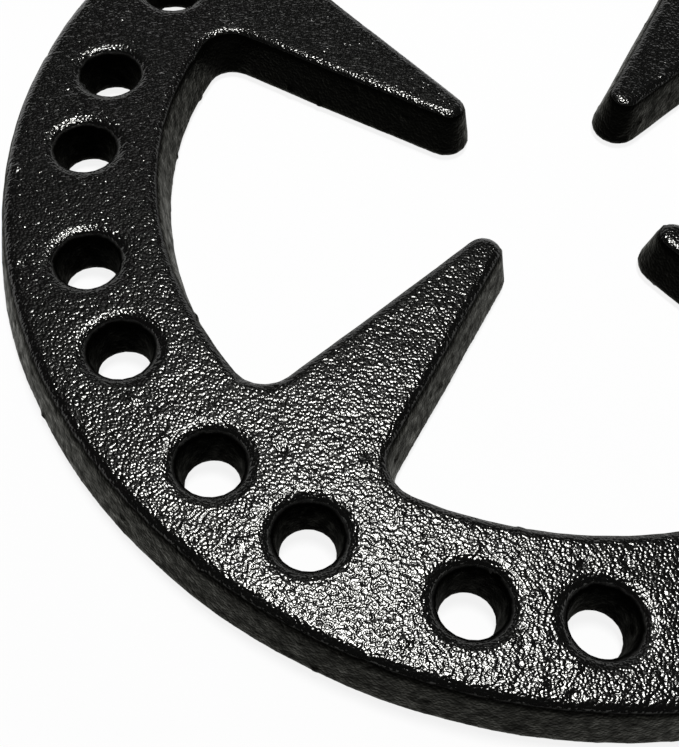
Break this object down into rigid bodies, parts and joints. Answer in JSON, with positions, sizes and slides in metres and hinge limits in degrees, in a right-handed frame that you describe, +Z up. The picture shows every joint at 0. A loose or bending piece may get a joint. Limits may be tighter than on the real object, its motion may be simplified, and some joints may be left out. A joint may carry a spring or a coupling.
{
  "type": "hob reducer ring",
  "caption": "Flat cast-iron ring for a gas hob: tapered prongs point at its centre to carry a small pot, with vent holes in pairs round the rim.",
  "frame": {"origin": "centre of the flat underside", "axes": "+Z up, out of the face that carries the pot; the prongs lie on the diagonals between X and Y"},
  "size_m": [0.14, 0.14, 0.0071],
  "materials": {
    "coated_iron": "satin black heat-proof coating over a coarse sand-cast grain"
  },
  "bodies": {
    "root": {"cast_ring": "coated_iron"}
  },
  "joints": []
}
